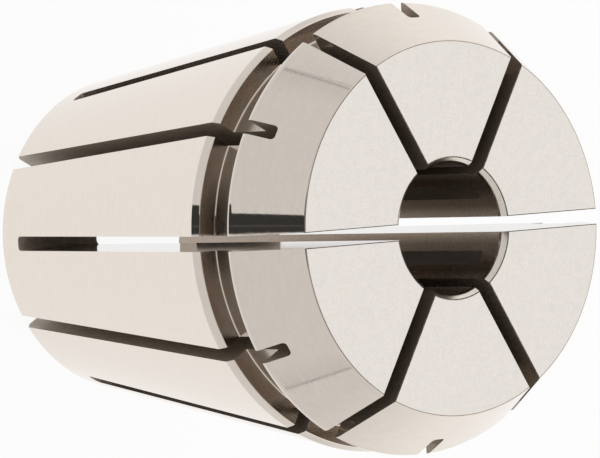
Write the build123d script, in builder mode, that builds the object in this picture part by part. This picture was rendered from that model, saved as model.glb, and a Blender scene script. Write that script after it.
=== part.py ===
from build123d import *
from math import radians, tan
import os

# A double slotted spring collet, which grips a straight tool shank in a tapered holder.
# It is one piece of spring steel, turned, hardened, ground, and then slit from both ends.
# It stands on its small rear end: the axis is Z, the rear face is at z = 0 and the clamping
# face is on top. Lengths are in millimetres and angles in degrees.

# Nose and collar: the nut presses on the cone and pushes the collet home
overall_length = 40.0
nose_face_diameter = 27.2
nose_half_angle = 30.0
nose_edge_break = 0.12
collar_diameter = 33.0
collar_land = 0.28
collar_edge_radius = 0.9

# Groove behind the collar: the ring of the nut hooks in here and pulls the collet out again
groove_width = 3.8
groove_floor_diameter = 29.46
groove_corner_break = 0.12

# Tapered body, which seats in the holder
shoulder_diameter = 32.24
shoulder_relief_length = 0.72
taper_large_diameter = 32.7
taper_half_angle = 8.0
rear_rim_chamfer = 0.4

# Bore for the tool shank
bore_diameter = 9.525
bore_front_chamfer = 0.39
bore_rear_chamfer = 0.2

# Slots: one pass of the slitting wheel right across the axis cuts two opposite slots, and
# leaves their closed ends with the hollow curve of its rim and the round of its worn corners.
# Each web is the metal left at the closed ends, measured along the axis of the collet.
slot_pairs = 3
slot_width = 1.1
slot_corner_radius = 0.3
slitting_wheel_diameter = 230.0
front_slot_web = 2.25
rear_slot_web = 2.0

# Heights along the axis, and the radii that go with them
nose_length = (collar_diameter - nose_face_diameter) / 2 / tan(radians(nose_half_angle))
nose_rear_z = overall_length - nose_length
collar_rear_z = nose_rear_z - collar_land
groove_rear_z = collar_rear_z - groove_width
taper_top_z = groove_rear_z - shoulder_relief_length
bore_radius = bore_diameter / 2
rear_radius = taper_large_diameter / 2 - taper_top_z * tan(radians(taper_half_angle))
groove_floor_radius = groove_floor_diameter / 2
nose_corner = (nose_face_diameter / 2, overall_length)
collar_corner = (collar_diameter / 2, nose_rear_z)

# The round of the collar's edge may use nearly all of the land beside it
land_use = 0.95
collar_round = min(collar_edge_radius, land_use * collar_land / tan(radians(nose_half_angle / 2)))

# Where the wheel's axle stands, above the front face or below the rear face
wheel_radius = slitting_wheel_diameter / 2
front_axle_z = front_slot_web + wheel_radius
rear_axle_z = overall_length - rear_slot_web - wheel_radius
slot_pitch = 180 / slot_pairs

# The half section stands midway between two neighbouring slots, clear of them both
section_angle = slot_pitch / 4
section_plane = Plane(
    origin=(0, 0, 0),
    x_dir=Vector(1, 0, 0).rotate(Axis.Z, section_angle),
    z_dir=Vector(0, -1, 0).rotate(Axis.Z, section_angle),
)


# The slitting wheel, with its axle along X, so that it cuts in the YZ plane
with BuildPart() as slitting_wheel:
    Cylinder(radius=wheel_radius, height=slot_width, rotation=(0, 90, 0))
    fillet(slitting_wheel.edges().filter_by(GeomType.CIRCLE), slot_corner_radius)


with BuildPart() as collet:
    # Turned blank: half of its section, from the bore out to the taper, the groove and the nose
    with BuildSketch(section_plane) as half_section:
        with BuildLine():
            Polyline(
                (bore_radius, 0),
                (rear_radius, 0),
                (taper_large_diameter / 2, taper_top_z),
                (shoulder_diameter / 2, groove_rear_z),
                (groove_floor_radius, groove_rear_z),
                (groove_floor_radius, collar_rear_z),
                (collar_diameter / 2, collar_rear_z),
                collar_corner,
                nose_corner,
                (bore_radius, overall_length),
                close=True,
            )
        make_face()
        groove_corners = half_section.vertices().filter_by_position(
            Axis.X, groove_floor_radius, groove_floor_radius
        )
        chamfer(groove_corners, groove_corner_break)
        fillet(half_section.vertices().sort_by_distance(collar_corner)[0], collar_round)
        chamfer(half_section.vertices().sort_by_distance(nose_corner)[0], nose_edge_break)
    revolve(axis=Axis.Z)

    # Broken edges: the rear rim, and both mouths of the bore
    rear_edges = collet.edges().filter_by(GeomType.CIRCLE).group_by(Axis.Z)[0].sort_by(SortBy.RADIUS)
    chamfer(rear_edges[-1], rear_rim_chamfer)
    chamfer(rear_edges[0], bore_rear_chamfer)
    front_edges = collet.edges().filter_by(GeomType.CIRCLE).group_by(Axis.Z)[-1].sort_by(SortBy.RADIUS)
    chamfer(front_edges[0], bore_front_chamfer)

    # Slots open at the clamping face, then slots open at the rear, half a pitch round from them
    for axle_z, first_angle in ((front_axle_z, 0), (rear_axle_z, slot_pitch / 2)):
        for cut in range(slot_pairs):
            with Locations(Location((0, 0, axle_z), (0, 0, first_angle + cut * slot_pitch))):
                add(slitting_wheel.part, mode=Mode.SUBTRACT)

collet.part.label = "collet"

os.makedirs("parts", exist_ok=True)
export_step(collet.part, "parts/collet.step")
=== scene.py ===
"""Looks of a double slotted spring collet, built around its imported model.

The collet stands on its small rear end, with its axis along +Z and its clamping face on top.
Sizes are written in millimetres, as on a workshop drawing. Each piece is modelled at that
size, and brought to metres when it is whole.
"""

import logging
import math
from dataclasses import dataclass
from enum import Enum
from typing import Callable, Optional

import bmesh
import bpy
from mathutils import Matrix, Vector


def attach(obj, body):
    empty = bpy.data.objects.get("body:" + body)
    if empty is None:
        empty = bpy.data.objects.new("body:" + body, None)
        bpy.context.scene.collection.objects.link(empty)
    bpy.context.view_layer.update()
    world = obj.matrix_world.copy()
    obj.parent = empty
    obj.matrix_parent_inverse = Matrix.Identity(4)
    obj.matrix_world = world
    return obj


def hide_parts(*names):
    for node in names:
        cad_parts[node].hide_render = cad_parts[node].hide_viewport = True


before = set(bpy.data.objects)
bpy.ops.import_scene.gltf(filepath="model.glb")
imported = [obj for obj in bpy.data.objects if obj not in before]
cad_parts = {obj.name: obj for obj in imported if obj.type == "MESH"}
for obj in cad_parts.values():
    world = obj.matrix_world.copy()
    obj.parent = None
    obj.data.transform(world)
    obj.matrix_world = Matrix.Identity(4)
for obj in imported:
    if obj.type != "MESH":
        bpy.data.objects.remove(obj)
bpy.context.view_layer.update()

LOG = logging.getLogger("collet")
MM = 0.001

# Two points of a mesh closer than this, in mm, are one and the same
WELD_GAP = 0.0005

# How much of a face's unit normal points up, above which a face is level and below which upright
LEVEL = 0.999
UPRIGHT = 0.1

# One pass of a slitting wheel cuts two opposite slots, and each end takes this many passes
SLOT_PAIRS = 3

# The angle from a front slot to the middle of the leaf beside it, which is also the angle at
# which the first front slot lies
HALF_PITCH = math.pi / SLOT_PAIRS / 2

# Beside a front slot, the painted reflection in the bore is whole at the first angle and gone at
# the second. From the rear, it begins at the first height, in mm, and is whole at the second.
REFLECTION_WHOLE, REFLECTION_GONE = math.radians(7), math.radians(18)
REFLECTION_REAR_Z, REFLECTION_FRONT_Z = 9.5, 19.0

# A noise stays near its middle, so colour and roughness are read from these parts of its range
LINE_SPAN = (0.35, 0.75)
CLOUD_SPAN = (0.4, 0.8)
DULLNESS_SPAN = (0.3, 0.7)

# Marks round the axis are read on a ring of this radius, in mm, which is far smaller than the
# collet and so draws them out. Marks along a slot keep this share of their rate there.
RING_RADIUS = 2.2
SLOT_RATE = 0.08

# A facet of the wheel's rim that looks this much along the axle rubs as the side does
RUBBING = 0.9


def linear(hex_colour: str, alpha: float = 1.0) -> tuple[float, float, float, float]:
    """Turns an sRGB hex colour to the linear values that the shaders take.

    Args:
        hex_colour: Six hex digits after a hash, such as "#c8c0b8".
        alpha: The fourth value.

    Returns:
        Red, green, blue and alpha, each from 0 to 1.
    """
    digits = hex_colour.lstrip("#")
    channels = []
    for start in (0, 2, 4):
        value = int(digits[start:start + 2], 16) / 255
        channels.append(value / 12.92 if value <= 0.04045 else ((value + 0.055) / 1.055) ** 2.4)
    return (channels[0], channels[1], channels[2], alpha)


def add_node(
    tree: bpy.types.NodeTree,
    kind: str,
    settings: Optional[dict] = None,
    inputs: Optional[dict] = None,
) -> bpy.types.Node:
    """Adds one node with its settings and links.

    Args:
        tree: The node tree that takes the node.
        kind: Blender's name for the kind of node.
        settings: Values of the node's own properties.
        inputs: Values for its sockets by name or number. An output socket is linked,
            and anything else is set as the socket's value.

    Returns:
        The new node.
    """
    node = tree.nodes.new(kind)
    for name, value in (settings or {}).items():
        setattr(node, name, value)
    for key, value in (inputs or {}).items():
        if isinstance(value, bpy.types.NodeSocket):
            tree.links.new(value, node.inputs[key])
        else:
            node.inputs[key].default_value = value
    return node


class Lay(Enum):
    """Which way the marks of the tool run on a surface."""

    AROUND_AXIS = "around the axis"
    NO_LAY = "no direction"
    ALONG_SLOT = "along the slot"


@dataclass(frozen=True)
class SteelFinish:
    """A finish of the spring steel, from its colour to the marks that its tool left.

    The marks are drawn by two noises. One is stretched along the lay, for the fine lines of a
    grinding wheel or a turning tool, and one has no direction, for the faint cloudiness of
    hardened and oiled steel.
    """

    name: str
    colour: str
    shade: str
    roughness: float
    roughness_spread: float
    lay: Lay
    line_pitch: float
    line_contrast: float
    cloud_size: float
    cloud_contrast: float
    line_depth: float
    grain_depth: float = 0.0
    metal: float = 1.0
    # Colour of a painted reflection of the front slots' light, laid on the bore beside them
    slot_reflection: str = ""

    def lay_coordinates(
        self, tree: bpy.types.NodeTree
    ) -> tuple[bpy.types.NodeSocket, bpy.types.NodeSocket]:
        """Makes the coordinates that the two noises read.

        Args:
            tree: The node tree of the material.

        Returns:
            Plain object coordinates in mm, and the same drawn out along the lay.
        """
        place = add_node(tree, "ShaderNodeTexCoord")
        millimetres = add_node(
            tree, "ShaderNodeVectorMath", {"operation": "SCALE"},
            {0: place.outputs["Object"], "Scale": 1 / MM},
        )
        plain = millimetres.outputs[0]
        if self.lay is Lay.NO_LAY:
            return plain, plain
        if self.lay is Lay.ALONG_SLOT:
            drawn = add_node(
                tree, "ShaderNodeMapping", None, {"Vector": plain, "Scale": (1.0, 1.0, SLOT_RATE)}
            )
            return plain, drawn.outputs[0]
        split = add_node(tree, "ShaderNodeSeparateXYZ", None, {0: plain})
        flat = add_node(
            tree, "ShaderNodeCombineXYZ", None, {"X": split.outputs["X"], "Y": split.outputs["Y"]}
        )
        radius = add_node(
            tree, "ShaderNodeVectorMath", {"operation": "LENGTH"}, {0: flat.outputs[0]}
        )
        compass = add_node(
            tree, "ShaderNodeVectorMath", {"operation": "NORMALIZE"}, {0: flat.outputs[0]}
        )
        along = add_node(
            tree, "ShaderNodeVectorMath", {"operation": "SCALE"},
            {0: compass.outputs[0], "Scale": RING_RADIUS},
        )
        across = add_node(
            tree, "ShaderNodeMath", {"operation": "ADD"},
            {0: radius.outputs["Value"], 1: split.outputs["Z"]},
        )
        ring = add_node(tree, "ShaderNodeSeparateXYZ", None, {0: along.outputs[0]})
        drawn = add_node(
            tree, "ShaderNodeCombineXYZ", None,
            {"X": ring.outputs["X"], "Y": ring.outputs["Y"], "Z": across.outputs[0]},
        )
        return plain, drawn.outputs[0]

    def paint_slot_reflection(
        self, tree: bpy.types.NodeTree, plain: bpy.types.NodeSocket, steel: bpy.types.NodeSocket
    ) -> bpy.types.NodeSocket:
        """Paints a reflection of the light from the front slots on the steel beside them.

        The painted reflection is whole towards the front and fades out towards the rear.

        Args:
            tree: The node tree of the material.
            plain: Object coordinates in mm.
            steel: The colour away from the slots.

        Returns:
            The colour with its painted reflection.
        """
        split = add_node(tree, "ShaderNodeSeparateXYZ", None, {0: plain})
        turn = add_node(
            tree, "ShaderNodeMath", {"operation": "ARCTAN2"},
            {0: split.outputs["Y"], 1: split.outputs["X"]},
        )
        from_first = add_node(
            tree, "ShaderNodeMath", {"operation": "SUBTRACT"}, {0: turn.outputs[0], 1: HALF_PITCH}
        )
        from_slot = add_node(
            tree, "ShaderNodeMath", {"operation": "PINGPONG"},
            {0: from_first.outputs[0], 1: HALF_PITCH},
        )
        share = add_node(
            tree, "ShaderNodeMapRange", {"interpolation_type": "SMOOTHSTEP"},
            {"Value": from_slot.outputs[0], "From Min": REFLECTION_GONE, "From Max": REFLECTION_WHOLE},
        )
        reach = add_node(
            tree, "ShaderNodeMapRange", None,
            {"Value": split.outputs["Z"], "From Min": REFLECTION_REAR_Z, "From Max": REFLECTION_FRONT_Z},
        )
        slot_reflection = add_node(
            tree, "ShaderNodeMath", {"operation": "MULTIPLY"},
            {0: share.outputs[0], 1: reach.outputs[0]},
        )
        mixed = add_node(
            tree, "ShaderNodeMix", {"data_type": "RGBA"},
            {0: slot_reflection.outputs[0], 6: steel, 7: linear(self.slot_reflection)},
        )
        return mixed.outputs[2]

    def material(self) -> bpy.types.Material:
        """Builds the finish as a node material.

        Returns:
            The new material, named for the finish.
        """
        material = bpy.data.materials.new(self.name)
        material.use_nodes = True
        tree = material.node_tree
        tree.nodes.clear()
        plain, drawn = self.lay_coordinates(tree)
        lines = add_node(
            tree, "ShaderNodeTexNoise", None,
            {"Vector": drawn, "Scale": 1 / self.line_pitch, "Detail": 3.0, "Roughness": 0.6},
        )
        clouds = add_node(
            tree, "ShaderNodeTexNoise", None,
            {"Vector": plain, "Scale": 1 / self.cloud_size, "Detail": 4.0, "Roughness": 0.55},
        )
        line_share = add_node(
            tree, "ShaderNodeMapRange", None,
            {
                "Value": lines.outputs[0], "From Min": LINE_SPAN[0], "From Max": LINE_SPAN[1],
                "To Max": self.line_contrast,
            },
        )
        cloud_share = add_node(
            tree, "ShaderNodeMapRange", None,
            {
                "Value": clouds.outputs[0], "From Min": CLOUD_SPAN[0], "From Max": CLOUD_SPAN[1],
                "To Max": self.cloud_contrast,
            },
        )
        shade_share = add_node(
            tree, "ShaderNodeMath", {"operation": "ADD", "use_clamp": True},
            {0: line_share.outputs[0], 1: cloud_share.outputs[0]},
        )
        colour = add_node(
            tree, "ShaderNodeMix", {"data_type": "RGBA"},
            {0: shade_share.outputs[0], 6: linear(self.colour), 7: linear(self.shade)},
        )
        steel = colour.outputs[2]
        # Lays the painted reflection of the front slots' light, where the finish has one
        if self.slot_reflection:
            steel = self.paint_slot_reflection(tree, plain, steel)
        dullness = add_node(
            tree, "ShaderNodeMapRange", None,
            {
                "Value": lines.outputs[0],
                "From Min": DULLNESS_SPAN[0], "From Max": DULLNESS_SPAN[1],
                "To Min": self.roughness, "To Max": self.roughness + self.roughness_spread,
            },
        )
        relief = add_node(
            tree, "ShaderNodeBump", None,
            {"Height": lines.outputs[0], "Strength": 1.0, "Distance": self.line_depth * MM},
        )
        if self.grain_depth:
            relief = add_node(
                tree, "ShaderNodeBump", None,
                {
                    "Height": clouds.outputs[0], "Strength": 1.0,
                    "Distance": self.grain_depth * MM, "Normal": relief.outputs[0],
                },
            )
        shader = add_node(
            tree, "ShaderNodeBsdfPrincipled", None,
            {
                "Base Color": steel, "Roughness": dullness.outputs[0],
                "Normal": relief.outputs[0], "Metallic": self.metal,
            },
        )
        add_node(tree, "ShaderNodeOutputMaterial", None, {"Surface": shader.outputs[0]})
        return material


# Real marks of these tools are 0.02 to 0.05 mm apart, which is too fine to show. All pitches
# below, in mm, are drawn four or five times as coarse.

# Spring steel ground on the seating surfaces: warm, bright and nearly a mirror, with lines that
# run round the axis and show only as a faint grain
GROUND_STEEL = SteelFinish(
    name="ground_spring_steel", colour="#e7ddd3", shade="#d6ccc1", roughness=0.02,
    roughness_spread=0.03, lay=Lay.AROUND_AXIS, line_pitch=0.16, line_contrast=0.25,
    cloud_size=0.22, cloud_contrast=0.15, line_depth=0.0003, grain_depth=0.0003,
)

# The clamping face is ground flat and blasted lightly, so it is paler and has no lay
FACED_STEEL = SteelFinish(
    name="fine_ground_face_steel", colour="#e8e2dc", shade="#d2ccc5", roughness=0.14,
    roughness_spread=0.06, lay=Lay.NO_LAY, line_pitch=0.22, line_contrast=0.3,
    cloud_size=0.7, cloud_contrast=0.2, line_depth=0.0006,
)

# The groove keeps the brown skin that hardening leaves on turned steel
TURNED_STEEL = SteelFinish(
    name="hardened_turned_steel", colour="#bdb2a7", shade="#a4988c", roughness=0.16,
    roughness_spread=0.1, lay=Lay.AROUND_AXIS, line_pitch=0.14, line_contrast=0.6,
    cloud_size=0.9, cloud_contrast=0.3, line_depth=0.0008,
)

# The sides of the slitting wheel rub the slot walls smooth, under a film of brown oil that
# lifts their darkness a little
SLIT_STEEL = SteelFinish(
    name="wheel_slit_steel", colour="#a89b8e", shade="#8e8174", roughness=0.04,
    roughness_spread=0.04, lay=Lay.ALONG_SLOT, line_pitch=0.2, line_contrast=0.5,
    cloud_size=0.8, cloud_contrast=0.3, line_depth=0.0005, metal=0.7,
)

# The rear slots were cut with a coarser wheel, which leaves them matt under the same brown oil
COARSE_SLIT_STEEL = SteelFinish(
    name="coarse_wheel_slit_steel", colour="#b5a694", shade="#988977", roughness=0.34,
    roughness_spread=0.1, lay=Lay.ALONG_SLOT, line_pitch=0.2, line_contrast=0.5,
    cloud_size=0.8, cloud_contrast=0.3, line_depth=0.0008, metal=0.5,
)

# The wheel's rim tears more than it rubs, so the closed ends of the front slots are dull. Their
# pale colour is painted light, which lets them show a little where they are deep in shade
RIM_CUT_STEEL = SteelFinish(
    name="wheel_rim_cut_steel", colour="#ded0c2", shade="#bbaa9b", roughness=0.6,
    roughness_spread=0.15, lay=Lay.NO_LAY, line_pitch=0.1, line_contrast=0.8,
    cloud_size=0.6, cloud_contrast=0.5, line_depth=0.004, metal=0.05,
)

# The coarser wheel's rim leaves the ends of the rear slots torn. Their dark colour is painted
# shade
TORN_RIM_STEEL = SteelFinish(
    name="coarse_rim_cut_steel", colour="#7d7066", shade="#5c5148", roughness=0.5,
    roughness_spread=0.15, lay=Lay.NO_LAY, line_pitch=0.1, line_contrast=0.8,
    cloud_size=0.6, cloud_contrast=0.5, line_depth=0.004, metal=0.3,
)

# The edges that the front slots, the bore and the nose have on the face are broken and dull.
# Their patchy dark colour is a painted dark reflection, which outlines them finely
PAINTED_OUTLINE_STEEL = SteelFinish(
    name="painted_outline_steel", colour="#8d8278", shade="#3c342e", roughness=0.35,
    roughness_spread=0.15, lay=Lay.NO_LAY, line_pitch=0.15, line_contrast=0.9,
    cloud_size=0.5, cloud_contrast=0.6, line_depth=0.001,
)

# The bore is honed: dark, because little light gets in, with fine lines round it. Beside each
# front slot it has a painted reflection of the light that comes in through the slot
HONED_STEEL = SteelFinish(
    name="honed_bore_steel", colour="#b3a599", shade="#998b7d", roughness=0.26,
    roughness_spread=0.06, lay=Lay.AROUND_AXIS, line_pitch=0.12, line_contrast=0.6,
    cloud_size=1.0, cloud_contrast=0.2, line_depth=0.0008, metal=0.94, slot_reflection="#f7eadb",
)

# The mouth of the bore is countersunk, with a satin sheen
COUNTERSUNK_STEEL = SteelFinish(
    name="countersunk_steel", colour="#e6dfd6", shade="#c6bdb2", roughness=0.14,
    roughness_spread=0.05, lay=Lay.AROUND_AXIS, line_pitch=0.1, line_contrast=0.5,
    cloud_size=0.8, cloud_contrast=0.2, line_depth=0.0008,
)


class Bench:
    """Where pieces are modelled by hand: the few moves that every piece needs."""

    @staticmethod
    def clear_selection() -> None:
        """Deselects every object."""
        bpy.ops.object.select_all(action="DESELECT")

    @staticmethod
    def take(piece: bpy.types.Object) -> None:
        """Selects one object alone and makes it the active one."""
        Bench.clear_selection()
        piece.select_set(True)
        bpy.context.view_layer.objects.active = piece

    @staticmethod
    def pick_points(piece: bpy.types.Object, wanted: Callable[[Vector], bool]) -> None:
        """Selects points of the piece in edit mode by their place.

        Args:
            piece: The object that is being edited.
            wanted: Says of a place, in mm, whether the point there is wanted.
        """
        bpy.ops.mesh.select_mode(type="VERT")
        mesh = bmesh.from_edit_mesh(piece.data)
        for point in mesh.verts:
            point.select_set(wanted(point.co))
        mesh.select_flush_mode()
        bmesh.update_edit_mesh(piece.data)

    @staticmethod
    def pick_faces(piece: bpy.types.Object, wanted: Callable[[Vector, Vector], bool]) -> int:
        """Selects faces of the piece in edit mode by their place and normal.

        Args:
            piece: The object that is being edited.
            wanted: Says of a face's middle, in mm, and its normal whether it is wanted.

        Returns:
            How many faces are selected.
        """
        bpy.ops.mesh.select_mode(type="FACE")
        mesh = bmesh.from_edit_mesh(piece.data)
        for face in mesh.faces:
            face.select_set(wanted(face.calc_center_median(), face.normal))
        bmesh.update_edit_mesh(piece.data)
        return sum(1 for face in mesh.faces if face.select)


@dataclass(frozen=True)
class Corner:
    """One corner of a turned section, with the round or chamfer that breaks it.

    Attributes:
        radius: Distance from the axis, in mm.
        height: Distance from the rear face, in mm.
        setback: How far along both sides the corner is broken, in mm.
        facets: How many flats follow the round. One is a chamfer.
    """

    radius: float
    height: float
    setback: float = 0.0
    facets: int = 1

    @property
    def place(self) -> Vector:
        """The corner's place in the section plane."""
        return Vector((self.radius, 0.0, self.height))


@dataclass
class SpringCollet:
    """The collet: one piece of spring steel, turned, ground, and slit from both ends.

    All lengths are in mm and angles in degrees, as in the part's own drawing.
    """

    overall_length: float = 40.0
    nose_face_diameter: float = 27.2
    nose_half_angle: float = 30.0
    nose_edge_break: float = 0.12
    collar_diameter: float = 33.0
    collar_land: float = 0.28
    collar_edge_radius: float = 0.9
    collar_rear_break: float = 0.04
    groove_width: float = 3.8
    groove_floor_diameter: float = 29.46
    groove_corner_break: float = 0.1
    shoulder_diameter: float = 32.24
    shoulder_relief_length: float = 0.72
    shoulder_edge_break: float = 0.07
    taper_large_diameter: float = 32.7
    taper_half_angle: float = 8.0
    rear_rim_chamfer: float = 0.4
    bore_diameter: float = 9.525
    bore_front_chamfer: float = 0.39
    bore_rear_chamfer: float = 0.2
    mouth_edge_break: float = 0.05
    mouth_inner_break: float = 0.2
    slot_pairs: int = SLOT_PAIRS
    slot_width: float = 1.1
    slot_corner_radius: float = 0.3
    slot_edge_break: float = 0.06
    slitting_wheel_diameter: float = 230.0
    front_slot_web: float = 2.25
    rear_slot_web: float = 2.0
    turning_steps: int = 360
    wheel_points: int = 720
    rim_facets: int = 5
    sharp_angle: float = 60.0
    smooth_angle: float = 24.0
    name: str = "spring_collet"
    cad_node: str = "collet"
    finishes: tuple[SteelFinish, ...] = (
        GROUND_STEEL, FACED_STEEL, TURNED_STEEL, HONED_STEEL, COUNTERSUNK_STEEL,
        PAINTED_OUTLINE_STEEL, RIM_CUT_STEEL, TORN_RIM_STEEL, SLIT_STEEL, COARSE_SLIT_STEEL,
    )

    @property
    def nose_rear_z(self) -> float:
        """Height of the cone's large end."""
        fall = (self.collar_diameter - self.nose_face_diameter) / 2
        return self.overall_length - fall / math.tan(math.radians(self.nose_half_angle))

    @property
    def collar_rear_z(self) -> float:
        """Height of the collar's rear side, where the groove begins."""
        return self.nose_rear_z - self.collar_land

    @property
    def groove_rear_z(self) -> float:
        """Height of the groove's rear wall."""
        return self.collar_rear_z - self.groove_width

    @property
    def taper_top_z(self) -> float:
        """Height of the taper's large end."""
        return self.groove_rear_z - self.shoulder_relief_length

    @property
    def rear_radius(self) -> float:
        """Radius of the taper at the rear face."""
        slope = math.tan(math.radians(self.taper_half_angle))
        return self.taper_large_diameter / 2 - self.taper_top_z * slope

    def section(self) -> list[Corner]:
        """Lists the corners of the half section, from the bore's rear mouth round to its front.

        Returns:
            The corners in order, with the break of each.
        """
        bore = self.bore_diameter / 2
        mouth = bore + self.bore_front_chamfer
        mouth_floor_z = self.overall_length - self.bore_front_chamfer
        taper = self.taper_large_diameter / 2
        shoulder = self.shoulder_diameter / 2
        floor = self.groove_floor_diameter / 2
        collar = self.collar_diameter / 2
        collar_setback = self.collar_edge_radius * math.tan(math.radians(self.nose_half_angle / 2))
        nose = self.nose_face_diameter / 2
        return [
            Corner(bore, 0.0, self.bore_rear_chamfer),
            Corner(self.rear_radius, 0.0, self.rear_rim_chamfer),
            Corner(taper, self.taper_top_z, self.shoulder_edge_break, facets=2),
            Corner(shoulder, self.groove_rear_z, self.shoulder_edge_break, facets=3),
            Corner(floor, self.groove_rear_z, self.groove_corner_break, facets=6),
            Corner(floor, self.collar_rear_z, self.groove_corner_break, facets=6),
            Corner(collar, self.collar_rear_z, self.collar_rear_break, facets=2),
            Corner(collar, self.nose_rear_z, collar_setback, facets=6),
            Corner(nose, self.overall_length, self.nose_edge_break, facets=5),
            Corner(mouth, self.overall_length, self.mouth_edge_break, facets=3),
            Corner(bore, mouth_floor_z, self.mouth_inner_break, facets=5),
        ]

    def turn_blank(self) -> bpy.types.Object:
        """Draws the half section point by point and spins it round the axis.

        Returns:
            The turned blank, in mm, with no slots.
        """
        corners = self.section()
        Bench.clear_selection()
        bpy.ops.mesh.primitive_plane_add(size=1.0, location=(0, 0, 0))
        blank = bpy.context.active_object
        blank.name = self.name
        bpy.ops.object.mode_set(mode="EDIT")
        bpy.ops.mesh.select_mode(type="VERT")
        bpy.ops.mesh.select_all(action="SELECT")
        bpy.ops.mesh.merge(type="CENTER")
        bpy.ops.transform.translate(value=corners[0].place)
        for here, there in zip(corners, corners[1:] + corners[:1]):
            bpy.ops.mesh.extrude_region_move(
                TRANSFORM_OT_translate={"value": there.place - here.place}
            )
        bpy.ops.mesh.select_all(action="SELECT")
        bpy.ops.mesh.remove_doubles(threshold=WELD_GAP)
        for corner in corners:
            if corner.setback > 0:
                Bench.pick_points(blank, lambda place: (place - corner.place).length < WELD_GAP)
                bpy.ops.mesh.bevel(
                    offset_type="OFFSET", offset=corner.setback, segments=corner.facets,
                    affect="VERTICES", clamp_overlap=False,
                )
        bpy.ops.mesh.select_all(action="SELECT")
        bpy.ops.mesh.spin(
            steps=self.turning_steps, angle=math.tau, center=(0, 0, 0), axis=(0, 0, 1)
        )
        bpy.ops.mesh.select_all(action="SELECT")
        bpy.ops.mesh.remove_doubles(threshold=WELD_GAP)
        bpy.ops.mesh.normals_make_consistent(inside=False)
        bpy.ops.object.mode_set(mode="OBJECT")
        LOG.info("blank turned: %d faces", len(blank.data.polygons))
        return blank

    def finish_surfaces(self, blank: bpy.types.Object) -> None:
        """Gives each turned surface of the blank its own finish.

        Args:
            blank: The turned blank.
        """
        for finish in self.finishes:
            Bench.take(blank)
            bpy.ops.object.material_slot_add()
            blank.material_slots[-1].material = finish.material()
        bore_reach = self.bore_diameter / 2 + WELD_GAP
        mouth_reach = self.bore_diameter / 2 + self.bore_front_chamfer + self.mouth_edge_break
        groove_reach = self.collar_diameter / 2 - 2 * self.collar_rear_break

        # The mouth's outer round points up more than the first share, and only the one facet of
        # the nose's round that lies between the next two takes the painted dark reflection
        mouth_round, nose_low, nose_high = 0.73, 0.9, 0.97
        places = {
            FACED_STEEL.name: lambda middle, normal: (
                normal.z > LEVEL and middle.z > self.nose_rear_z
            ),
            PAINTED_OUTLINE_STEEL.name: lambda middle, normal: middle.z > self.nose_rear_z and (
                middle.xy.length < mouth_reach and mouth_round < normal.z < LEVEL
                or middle.xy.length > mouth_reach and nose_low < normal.z < nose_high
            ),
            TURNED_STEEL.name: lambda middle, normal: (
                self.groove_rear_z - WELD_GAP < middle.z < self.collar_rear_z + WELD_GAP
                and self.bore_diameter < middle.xy.length < groove_reach
                and not UPRIGHT < abs(normal.z) < LEVEL
            ),
            COUNTERSUNK_STEEL.name: lambda middle, normal: (
                middle.z > self.nose_rear_z and middle.xy.length < mouth_reach
                and UPRIGHT < normal.z < mouth_round
            ),
            HONED_STEEL.name: lambda middle, normal: (
                middle.xy.length < bore_reach and abs(normal.z) < UPRIGHT
            ),
        }
        names = [finish.name for finish in self.finishes]
        bpy.ops.object.mode_set(mode="EDIT")
        for name, wanted in places.items():
            count = Bench.pick_faces(blank, wanted)
            blank.active_material_index = names.index(name)
            bpy.ops.object.material_slot_assign()
            LOG.info("%s on %d faces", name, count)
        bpy.ops.object.mode_set(mode="OBJECT")

    def dress_tool(self, tool: bpy.types.Object, finish: SteelFinish) -> None:
        """Fixes a tool in its place and gives it the finish that it leaves on the steel.

        Args:
            tool: The tool, which is the active object.
            finish: The finish that it leaves.
        """
        bpy.ops.object.transform_apply(location=True, rotation=True, scale=True)
        for each in self.finishes:
            bpy.ops.object.material_slot_add()
            tool.material_slots[-1].material = bpy.data.materials[each.name]
        bpy.ops.object.mode_set(mode="EDIT")
        bpy.ops.mesh.select_all(action="SELECT")
        tool.active_material_index = self.finishes.index(finish)
        bpy.ops.object.material_slot_assign()
        bpy.ops.object.mode_set(mode="OBJECT")

    def carve(self, blank: bpy.types.Object, tool: bpy.types.Object) -> None:
        """Cuts the tool's shape out of the blank and puts the tool away.

        Args:
            blank: The piece that is cut.
            tool: The shape that is taken out.
        """
        Bench.take(blank)
        bpy.ops.object.modifier_add(type="BOOLEAN")
        cut = blank.modifiers[-1]
        cut.operation = "DIFFERENCE"
        cut.solver = "EXACT"
        cut.object = tool
        bpy.ops.object.modifier_apply(modifier=cut.name)
        bpy.data.objects.remove(tool)

    def edge_breaking_bar(self, turn: float) -> bpy.types.Object:
        """Makes the four-sided bar whose lower half breaks both edges of a slot on the face.

        Args:
            turn: Angle of the bar round the collet's axis, in degrees.

        Returns:
            The bar.
        """
        Bench.clear_selection()
        bpy.ops.mesh.primitive_cylinder_add(
            vertices=4, radius=self.slot_width / 2 + self.slot_edge_break,
            depth=self.collar_diameter, location=(0, 0, self.overall_length),
            rotation=(math.radians(90), 0, math.radians(turn)),
        )
        bar = bpy.context.active_object
        # The faces that the bar leaves on the slot edges take the painted dark reflection
        self.dress_tool(bar, PAINTED_OUTLINE_STEEL)
        return bar

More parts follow.
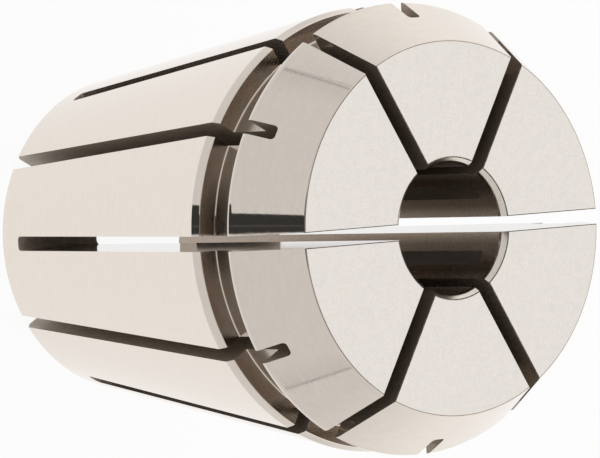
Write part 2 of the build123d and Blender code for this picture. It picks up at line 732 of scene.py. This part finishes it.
    def slitting_wheel(
        self, axle_z: float, turn: float, finish: SteelFinish, rim_finish: SteelFinish
    ) -> bpy.types.Object:
        """Makes the thin wheel that cuts two opposite slots in one pass.

        Args:
            axle_z: Height of the wheel's axle.
            turn: Angle of the wheel round the collet's axis, in degrees.
            finish: What the wheel's sides leave on the slot walls.
            rim_finish: What its rim leaves on the closed ends.

        Returns:
            The wheel, with the worn round of its rim.
        """
        Bench.clear_selection()
        bpy.ops.mesh.primitive_cylinder_add(
            vertices=self.wheel_points, radius=self.slitting_wheel_diameter / 2,
            depth=self.slot_width, location=(0, 0, axle_z),
            rotation=(0, math.radians(90), math.radians(turn)),
        )
        wheel = bpy.context.active_object
        self.dress_tool(wheel, finish)
        bpy.ops.object.modifier_add(type="BEVEL")
        rim = wheel.modifiers[-1]
        rim.width = self.slot_corner_radius
        rim.segments = self.rim_facets
        rim.limit_method = "ANGLE"
        rim.angle_limit = math.radians(self.sharp_angle)
        bpy.ops.object.modifier_apply(modifier=rim.name)
        bpy.ops.object.mode_set(mode="EDIT")
        axle = Vector((math.cos(math.radians(turn)), math.sin(math.radians(turn)), 0.0))
        Bench.pick_faces(wheel, lambda middle, normal: abs(normal.dot(axle)) < RUBBING)
        wheel.active_material_index = self.finishes.index(rim_finish)
        bpy.ops.object.material_slot_assign()
        bpy.ops.object.mode_set(mode="OBJECT")
        return wheel

    def cut_slots(self, blank: bpy.types.Object) -> None:
        """Slits the blank from the front and, half a pitch round, from the rear.

        Args:
            blank: The turned blank.
        """
        wheel_radius = self.slitting_wheel_diameter / 2
        pitch = 180 / self.slot_pairs
        passes = (
            (self.front_slot_web + wheel_radius, 0.0, SLIT_STEEL, RIM_CUT_STEEL),
            (
                self.overall_length - self.rear_slot_web - wheel_radius, pitch / 2,
                COARSE_SLIT_STEEL, TORN_RIM_STEEL,
            ),
        )
        for axle_z, first_turn, finish, rim_finish in passes:
            for cut in range(self.slot_pairs):
                turn = first_turn + cut * pitch
                self.carve(blank, self.slitting_wheel(axle_z, turn, finish, rim_finish))
        for cut in range(self.slot_pairs):
            self.carve(blank, self.edge_breaking_bar(cut * pitch))
        LOG.info("slots cut: %d faces", len(blank.data.polygons))

    def smooth(self, blank: bpy.types.Object) -> None:
        """Shades the curved surfaces smooth and keeps their edges crisp.

        Args:
            blank: The slit collet.
        """
        Bench.take(blank)
        bpy.ops.object.mode_set(mode="EDIT")
        bpy.ops.mesh.select_all(action="SELECT")
        bpy.ops.mesh.remove_doubles(threshold=WELD_GAP)
        bpy.ops.object.mode_set(mode="OBJECT")
        bpy.ops.object.shade_smooth_by_angle(angle=math.radians(self.smooth_angle))
        bpy.ops.object.modifier_add(type="WEIGHTED_NORMAL")
        weights = blank.modifiers[-1]
        weights.keep_sharp = True
        bpy.ops.object.modifier_apply(modifier=weights.name)

    def build(self) -> bpy.types.Object:
        """Makes the whole collet and brings it to metres.

        Returns:
            The finished piece.
        """
        blank = self.turn_blank()
        self.finish_surfaces(blank)
        self.cut_slots(blank)
        self.smooth(blank)
        blank.scale = (MM, MM, MM)
        bpy.ops.object.transform_apply(location=True, rotation=True, scale=True)
        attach(blank, "root")
        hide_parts(self.cad_node)
        return blank


@dataclass(frozen=True)
class Limit:
    """One soft edge of a patch of the light tent.

    Attributes:
        value: What tells how far a direction is into the patch.
        outside: The value up to which nothing of the patch shows.
        inside: The value from which all of it shows.
    """

    value: bpy.types.NodeSocket
    outside: float
    inside: float

    @staticmethod
    def both(
        value: bpy.types.NodeSocket, begin: float, end: float, soft: float
    ) -> tuple["Limit", "Limit"]:
        """Limits a patch on both sides.

        Args:
            value: What tells how far a direction is into the patch.
            begin: The middle of its first edge.
            end: The middle of its second edge.
            soft: How far each edge is drawn out to either side.

        Returns:
            The two limits.
        """
        return Limit(value, begin - soft, begin + soft), Limit(value, end + soft, end - soft)


@dataclass
class Studio:
    """A white board to stand on, a light tent round it, and the camera that looks into the tent.

    The metal mirrors the tent, so what it shows is told here as light by direction, seen from
    the collet's collar. The same light is painted on the board and on the world behind it.
    Lengths are in mm and angles in degrees. Azimuth 0 looks along +Y, and elevation is above
    the horizon. East, north and rise are the three parts of the unit vector that points at the
    spot, and what is named for them holds such parts and no angles.
    """

    # The board
    floor_radius: float = 800.0
    floor_points: int = 180

    # The camera's lens, how near and far it sees, and where it stands
    lens: float = 337.5
    sensor: float = 36.0
    nearest: float = 10.0
    farthest: float = 10000.0
    aim: tuple[float, float, float] = (-0.10, 0.34, 21.4)
    azimuth: float = -3.04
    elevation: float = 52.32
    roll: float = 89.1
    distance: float = 421.0

    # The height from which the board shows the tent, and how much of a shadow the board keeps
    mirror_height: float = 35.0
    shadow_share: float = 0.06

    # The walls, which turn from the front's light to the back's between two values of north
    front_light: float = 0.745
    back_light: float = 1.03
    wall_north: tuple[float, float] = (-0.25, 0.68)

    # The open top, which takes over between two elevations, and the soft box in it. The box is
    # whole as far as its reach, an angle from its middle, and gone at its fade beyond that.
    ceiling_light: float = 0.55
    ceiling_fade: tuple[float, float] = (40.0, 48.0)
    soft_box: tuple[float, float, float] = (0.03, 0.61, 0.79)
    soft_box_light: float = 1.0
    soft_box_reach: float = 34.0
    soft_box_fade: float = 6.0

    # The board's light, and a grey card on either side of the collet. The card lies between the
    # first two values, and the third is how far its edges are drawn out.
    board_light: float = 0.99
    board_fade: tuple[float, float] = (-18.0, -40.0)
    card_light: float = 0.72
    card_rise: tuple[float, float, float] = (-0.58, -0.44, 0.1)
    card_north: tuple[float, float, float] = (-0.06, 0.38, 0.3)

    # The elevation and slant of the board's far edge, and the half shade above it and the thin
    # dark line on it, both measured in rise
    board_edge: float = -2.2
    board_tilt: float = 0.28
    half_shade_light: float = 0.68
    half_shade_rise: float = 0.06
    half_shade_soft: float = 0.004
    edge_light: float = 0.3
    edge_half_width: float = 0.0015
    edge_soft: float = 0.001

    # The camera as the metal shows it, and its stand. The stand's left side and its foot are
    # angles. Its right side, its gap and the splay of its left leg are slopes, east over north.
    camera_reach: float = 13.0
    camera_fade: float = 4.0
    stand_light: float = 0.042
    stand_left: float = -10.6
    stand_right: float = -0.042
    stand_soft: float = 0.004
    stand_north: tuple[float, float] = (-0.3, -0.35)
    stand_foot: float = -27.0
    stand_end_soft: float = 0.02
    splay: float = 0.06
    splay_rise: tuple[float, float] = (-0.12, -0.3)
    gap_light: float = 0.084
    stand_gap: tuple[float, float, float] = (-0.098, -0.088, 0.006)

    def back(self) -> Vector:
        """The direction from the collet to the camera."""
        turn = math.radians(self.azimuth)
        rise = math.radians(self.elevation)
        return Vector((
            math.sin(turn) * math.cos(rise), -math.cos(turn) * math.cos(rise), math.sin(rise)
        ))

    def place_camera(self) -> bpy.types.Object:
        """Sets the camera at the viewing angle of the photograph.

        Returns:
            The camera.
        """
        back = self.back()
        turn = math.radians(self.azimuth)
        level = Vector((math.cos(turn), math.sin(turn), 0.0))
        upright = back.cross(level)
        roll = math.radians(self.roll)
        right = math.cos(roll) * level + math.sin(roll) * upright
        up = back.cross(right)
        turned = Matrix((right, up, back)).transposed()
        bpy.ops.object.camera_add(
            location=(Vector(self.aim) + self.distance * back) * MM, rotation=turned.to_euler()
        )
        camera = bpy.context.active_object
        camera.data.lens = self.lens
        camera.data.sensor_width = self.sensor
        camera.data.clip_start = self.nearest * MM
        camera.data.clip_end = self.farthest * MM
        bpy.context.scene.camera = camera
        return camera

    @staticmethod
    def climb(elevation: float) -> float:
        """How much of a unit vector points up at an elevation."""
        return math.sin(math.radians(elevation))

    def around(
        self, tree: bpy.types.NodeTree, direction: bpy.types.NodeSocket, middle: Vector,
        reach: float, soft: float,
    ) -> Limit:
        """Limits a round patch of the tent.

        Args:
            tree: The node tree that takes the nodes.
            direction: The unit vector that points at the spot.
            middle: The unit vector that points at the middle of the patch.
            reach: Angle from the middle at which the patch is still whole.
            soft: Angle beyond that at which it is gone.

        Returns:
            The limit.
        """
        nearness = add_node(
            tree, "ShaderNodeVectorMath", {"operation": "DOT_PRODUCT"}, {0: direction, 1: middle}
        )
        return Limit(
            nearness.outputs["Value"], math.cos(math.radians(reach + soft)),
            math.cos(math.radians(reach)),
        )

    def lay_patch(
        self, tree: bpy.types.NodeTree, under: bpy.types.NodeSocket | float,
        over: bpy.types.NodeSocket | float, *limits: Limit,
    ) -> bpy.types.NodeSocket:
        """Lays a patch of another level over a part of the tent.

        Args:
            tree: The node tree that takes the nodes.
            under: The level outside the patch.
            over: The level of the patch.
            limits: Its edges. All of it shows only inside every one of them.

        Returns:
            The level of the tent with the patch on it.
        """
        share = None
        for limit in limits:
            step = add_node(
                tree, "ShaderNodeMapRange", {"interpolation_type": "SMOOTHSTEP"},
                {"Value": limit.value, "From Min": limit.outside, "From Max": limit.inside},
            ).outputs[0]
            share = step if share is None else add_node(
                tree, "ShaderNodeMath", {"operation": "MULTIPLY"}, {0: share, 1: step}
            ).outputs[0]
        return add_node(tree, "ShaderNodeMix", None, {0: share, 2: under, 3: over}).outputs[0]

    def tent_light(
        self, tree: bpy.types.NodeTree, direction: bpy.types.NodeSocket
    ) -> bpy.types.NodeSocket:
        """Tells how bright the tent is in a direction from the collet.

        Args:
            tree: The node tree that takes the nodes.
            direction: The unit vector that points at the spot.

        Returns:
            The light there, where 1 is white.
        """
        split = add_node(tree, "ShaderNodeSeparateXYZ", None, {0: direction})
        east, north, rise = split.outputs

        # The walls are dimmer on the camera's side
        light = self.lay_patch(
            tree, self.front_light, self.back_light, Limit(north, *self.wall_north)
        )

        # The open top is dim, apart from the soft box that lights the clamping face
        box_middle = Vector(self.soft_box).normalized()
        in_box = self.around(
            tree, direction, box_middle, self.soft_box_reach, self.soft_box_fade
        )
        top = self.lay_patch(tree, self.ceiling_light, self.soft_box_light, in_box)
        overhead = Limit(rise, *map(self.climb, self.ceiling_fade))
        light = self.lay_patch(tree, light, top, overhead)

        # The board is bright close to the collet, apart from a grey card on either side
        on_board = Limit(rise, *map(self.climb, self.board_fade))
        light = self.lay_patch(tree, light, self.board_light, on_board)
        card = Limit.both(rise, *self.card_rise) + Limit.both(north, *self.card_north)
        light = self.lay_patch(tree, light, self.card_light, *card)

        # The board is nearer on one side, and ends in a thin dark line with half shade above it
        rise = add_node(
            tree, "ShaderNodeMath", {"operation": "MULTIPLY_ADD"},
            {0: east, 1: -math.tan(math.radians(self.board_tilt)), 2: rise},
        ).outputs[0]
        edge = self.climb(self.board_edge)
        light = self.lay_patch(
            tree, light, self.half_shade_light,
            Limit(rise, edge - self.half_shade_soft, edge),
            Limit(rise, edge + self.half_shade_rise, edge),
        )
        line = Limit.both(
            rise, edge - self.edge_half_width, edge + self.edge_half_width, self.edge_soft
        )
        light = self.lay_patch(tree, light, self.edge_light, *line)

        # The camera and the stand that carries it are dark against the tent. The stand's left
        # leg is splayed below the board's edge, and light comes through a gap in the stand.
        forward = add_node(tree, "ShaderNodeMath", {"operation": "ABSOLUTE"}, {0: north})
        bearing = add_node(
            tree, "ShaderNodeMath", {"operation": "DIVIDE"}, {0: east, 1: forward.outputs[0]}
        ).outputs[0]
        splayed = self.lay_patch(tree, 0.0, self.splay, Limit(rise, *self.splay_rise))
        leg = add_node(
            tree, "ShaderNodeMath", {"operation": "ADD"}, {0: splayed, 1: bearing}
        ).outputs[0]
        left = math.tan(math.radians(self.stand_left))
        stand = (
            Limit(leg, left - self.stand_soft, left + self.stand_soft),
            Limit(bearing, self.stand_right + self.stand_soft, self.stand_right - self.stand_soft),
            Limit(north, *self.stand_north),
            *Limit.both(
                rise, self.climb(self.stand_foot), self.climb(self.elevation), self.stand_end_soft
            ),
        )
        gap = Limit.both(bearing, *self.stand_gap)
        stand_light = self.lay_patch(tree, self.stand_light, self.gap_light, *gap)
        light = self.lay_patch(tree, light, stand_light, *stand)
        in_camera = self.around(
            tree, direction, self.back(), self.camera_reach, self.camera_fade
        )
        return self.lay_patch(tree, light, self.stand_light, in_camera)

    def lay_floor(self) -> bpy.types.Object:
        """Lays the white board, which shows as the tent in metal and still keeps the shadow.

        Returns:
            The board.
        """
        Bench.clear_selection()
        bpy.ops.mesh.primitive_circle_add(
            vertices=self.floor_points, radius=self.floor_radius * MM, fill_type="NGON",
            location=(0, 0, 0),
        )
        floor = bpy.context.active_object
        floor.name = "floor"
        paint = bpy.data.materials.new("matt_white_board")
        paint.use_nodes = True
        tree = paint.node_tree
        tree.nodes.clear()
        place = add_node(tree, "ShaderNodeTexCoord")
        from_collar = add_node(
            tree, "ShaderNodeVectorMath", {"operation": "SUBTRACT"},
            {0: place.outputs["Object"], 1: (0.0, 0.0, self.mirror_height * MM)},
        )
        direction = add_node(
            tree, "ShaderNodeVectorMath", {"operation": "NORMALIZE"}, {0: from_collar.outputs[0]}
        )
        mirrored = self.tent_light(tree, direction.outputs[0])
        path = add_node(tree, "ShaderNodeLightPath")
        board = add_node(tree, "ShaderNodeBsdfDiffuse", None, {"Color": linear("#f2f1ef")})
        white = add_node(tree, "ShaderNodeEmission", None, {"Strength": 1.0})
        tent = add_node(tree, "ShaderNodeEmission", None, {"Strength": mirrored})
        shown = add_node(
            tree, "ShaderNodeMixShader", None,
            {0: self.shadow_share, 1: white.outputs[0], 2: board.outputs[0]},
        )
        seen = add_node(
            tree, "ShaderNodeMixShader", None,
            {0: path.outputs["Is Camera Ray"], 1: board.outputs[0], 2: shown.outputs[0]},
        )
        mixed = add_node(
            tree, "ShaderNodeMixShader", None,
            {0: path.outputs["Is Glossy Ray"], 1: seen.outputs[0], 2: tent.outputs[0]},
        )
        add_node(tree, "ShaderNodeOutputMaterial", None, {"Surface": mixed.outputs[0]})
        floor.data.materials.append(paint)
        return floor

    def light(self) -> None:
        """Surrounds the collet with the light tent, which the camera sees as plain white."""
        world = bpy.data.worlds.new("light_tent")
        bpy.context.scene.world = world
        world.use_nodes = True
        tree = world.node_tree
        tree.nodes.clear()
        place = add_node(tree, "ShaderNodeTexCoord")
        tent = self.tent_light(tree, place.outputs["Generated"])
        path = add_node(tree, "ShaderNodeLightPath")
        shown = add_node(
            tree, "ShaderNodeMix", None, {0: path.outputs["Is Camera Ray"], 2: tent, 3: 1.0}
        )
        backdrop = add_node(
            tree, "ShaderNodeBackground", None,
            {"Color": linear("#ffffff"), "Strength": shown.outputs[0]},
        )
        add_node(tree, "ShaderNodeOutputWorld", None, {"Surface": backdrop.outputs[0]})


def main() -> None:
    """Builds the collet, then the studio round it."""
    logging.basicConfig(level=logging.INFO, format="%(name)s: %(message)s")
    bpy.context.scene.view_settings.view_transform = "Standard"
    piece = SpringCollet().build()
    LOG.info("%s built: %d faces", piece.name, len(piece.data.polygons))
    studio = Studio()
    studio.lay_floor()
    studio.light()
    studio.place_camera()


if __name__ == "__main__":
    main()
